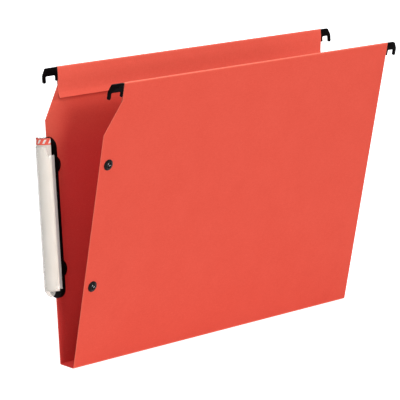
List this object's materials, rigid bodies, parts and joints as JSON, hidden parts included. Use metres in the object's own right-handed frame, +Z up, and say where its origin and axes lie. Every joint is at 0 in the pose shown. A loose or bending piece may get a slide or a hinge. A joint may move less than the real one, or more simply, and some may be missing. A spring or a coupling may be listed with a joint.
{
  "type": "hanging file folder",
  "caption": "Hanging file folder of folded card on a flat base, with railed hems, hook ends, press studs and a clear label holder on one edge.",
  "frame": {"origin": "underside of the base, midway between the hook notches and between the two bottom creases", "axes": "+X along the rails, with the label at -X; -Y on the front panel's side; +Z up"},
  "size_m": [0.3542, 0.0834, 0.2431],
  "materials": {
    "card": "orange-red kraft card, matt with fine fibres",
    "steel": "cold-rolled strip",
    "hook_plastic": "satin moulded",
    "stud_plastic": "polished moulded",
    "holder_plastic": "satin moulded",
    "clear_plastic": "clear polished",
    "label_paper": "uncoated paper with a coloured band"
  },
  "bodies": {
    "base": {"base_gusset": "card"},
    "front_side": {"front_panel": "card", "front_rail": "steel", "front_left_hook": "hook_plastic", "front_right_hook": "hook_plastic", "front_upper_stud": "stud_plastic", "front_lower_stud": "stud_plastic", "front_upper_stud_cap": "stud_plastic", "front_lower_stud_cap": "stud_plastic"},
    "rear_side": {"rear_panel": "card", "rear_rail": "steel", "rear_left_hook": "hook_plastic", "rear_right_hook": "hook_plastic", "label_holder": "holder_plastic", "holder_upper_rivet": "holder_plastic", "holder_lower_rivet": "holder_plastic", "holder_upper_rivet_cap": "holder_plastic", "holder_lower_rivet_cap": "holder_plastic", "label_lens": "clear_plastic"},
    "label": {"label_insert": "label_paper"}
  },
  "joints": [
    {"name": "front_fold", "type": "hinge", "parent": "base", "child": "front_side", "pos_m": [0, -0.008, 0.00045], "axis": [1, 0, 0], "range_deg": [-9.2, 65]},
    {"name": "rear_fold", "type": "hinge", "parent": "base", "child": "rear_side", "pos_m": [0, 0.008, 0.00045], "axis": [-1, 0, 0], "range_deg": [-6.2, 65]},
    {"name": "label_slide", "type": "slide", "parent": "rear_side", "child": "label", "axis": [0, 0.108, 0.9942], "range_m": [0, 0.125]}
  ]
}
